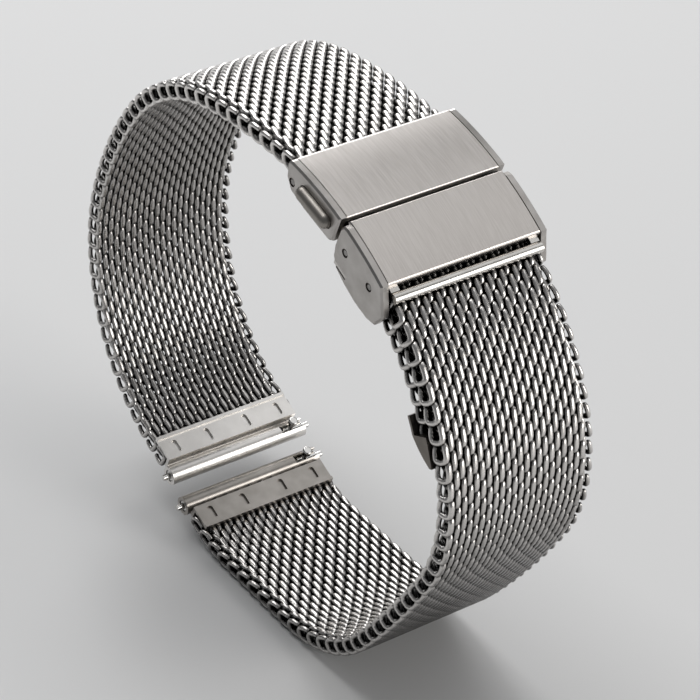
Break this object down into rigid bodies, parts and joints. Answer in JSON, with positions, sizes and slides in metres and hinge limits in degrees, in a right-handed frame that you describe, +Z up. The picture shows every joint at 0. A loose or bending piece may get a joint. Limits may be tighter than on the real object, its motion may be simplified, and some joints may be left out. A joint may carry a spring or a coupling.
{
  "type": "milanese mesh watch band",
  "caption": "Closed woven steel mesh watch band with a small folding push-button clasp and quick-release spring bars.",
  "frame": {"origin": "middle of the bounding box, on the surface that the closed band stands on", "axes": "+Y across the band's width towards its far side, +Z up, X in the plane of the loop"},
  "size_m": [0.0766, 0.0238, 0.0664],
  "materials": {
    "mesh_steel": "polished round stainless wire, woven in coils",
    "brushed_cover": "fine brushed grain along the band, with bright edges",
    "cheek_steel": "satin side faces",
    "polished_steel": "polished pins, bar and buttons",
    "plate_steel": "pressed sheet with a soft satin finish",
    "spring_steel": "plain spring wire"
  },
  "bodies": {
    "lower_box": {"lower_cover_plate": "brushed_cover", "near_lower_cheek": "cheek_steel", "far_lower_cheek": "cheek_steel", "lower_floor_plate": "plate_steel", "link_pin": "polished_steel", "fold_pin": "polished_steel", "keeper_bar": "polished_steel", "lower_mesh_1": "mesh_steel", "tail_clip": "polished_steel"},
    "link": {"folding_link": "plate_steel"},
    "upper_box": {"upper_cover_plate": "brushed_cover", "near_upper_cheek": "cheek_steel", "far_upper_cheek": "cheek_steel", "upper_strap_pin": "polished_steel", "button_guide": "plate_steel", "near_button_spring": "spring_steel", "far_button_spring": "spring_steel", "upper_mesh_1": "mesh_steel"},
    "near_button": {"near_push_button": "polished_steel"},
    "far_button": {"far_push_button": "polished_steel"},
    "upper_band_2": {"upper_mesh_2": "mesh_steel"},
    "upper_band_3": {"upper_mesh_3": "mesh_steel"},
    "upper_end": {"upper_mesh_4": "mesh_steel", "upper_end_piece": "plate_steel", "upper_spring_bar": "polished_steel", "upper_bar_spring": "spring_steel"},
    "upper_release": {"upper_release_pin": "polished_steel"},
    "lower_band_2": {"lower_mesh_2": "mesh_steel"},
    "lower_band_3": {"lower_mesh_3": "mesh_steel"},
    "lower_end": {"lower_mesh_4": "mesh_steel", "lower_end_piece": "plate_steel", "lower_spring_bar": "polished_steel", "lower_bar_spring": "spring_steel"},
    "lower_release": {"lower_release_pin": "polished_steel"}
  },
  "joints": [
    {"name": "clasp_fold", "type": "hinge", "parent": "lower_box", "child": "link", "pos_m": [0.0196, 0, 0.0603], "axis": [0, 1, 0], "range_deg": [0, 50]},
    {"name": "cover_lift", "type": "hinge", "parent": "link", "child": "upper_box", "pos_m": [0.00941, 0, 0.0639], "axis": [0, 1, 0], "range_deg": [-50, 0]},
    {"name": "near_button_press", "type": "slide", "parent": "upper_box", "child": "near_button", "axis": [0, 1, 0], "range_m": [0, 0.0006], "stiffness_N_per_m": 400},
    {"name": "far_button_press", "type": "slide", "parent": "upper_box", "child": "far_button", "axis": [0, -1, 0], "range_m": [0, 0.0006], "stiffness_N_per_m": 400},
    {"name": "upper_bend_1", "type": "hinge", "parent": "upper_box", "child": "upper_band_2", "pos_m": [-0.0169, 0, 0.06237], "axis": [0, -1, 0], "range_deg": [-25, 0]},
    {"name": "upper_bend_2", "type": "hinge", "parent": "upper_band_2", "child": "upper_band_3", "pos_m": [-0.03367, 0, 0.04404], "axis": [0, -1, 0], "range_deg": [-25, 10]},
    {"name": "upper_bend_3", "type": "hinge", "parent": "upper_band_3", "child": "upper_end", "pos_m": [-0.03509, 0, 0.02016], "axis": [0, -1, 0], "range_deg": [-25, 15]},
    {"name": "lower_bend_1", "type": "hinge", "parent": "lower_box", "child": "lower_band_2", "pos_m": [0.03698, 0, 0.03872], "axis": [0, 1, 0], "range_deg": [-25, 0]},
    {"name": "lower_bend_2", "type": "hinge", "parent": "lower_band_2", "child": "lower_band_3", "pos_m": [0.02519, 0, 0.012], "axis": [0, 1, 0], "range_deg": [-25, 0]},
    {"name": "lower_bend_3", "type": "hinge", "parent": "lower_band_3", "child": "lower_end", "pos_m": [-0.00785, 0, 0.00122], "axis": [0, 1, 0], "range_deg": [-20, 15]},
    {"name": "upper_release_slide", "type": "slide", "parent": "upper_end", "child": "upper_release", "axis": [0, -1, 0], "range_m": [0, 0.0012], "stiffness_N_per_m": 300},
    {"name": "lower_release_slide", "type": "slide", "parent": "lower_end", "child": "lower_release", "axis": [0, -1, 0], "range_m": [0, 0.0012], "stiffness_N_per_m": 300}
  ],
  "couplings": [
    {"joint": "cover_lift", "follows": "clasp_fold", "ratio": -1}
  ]
}
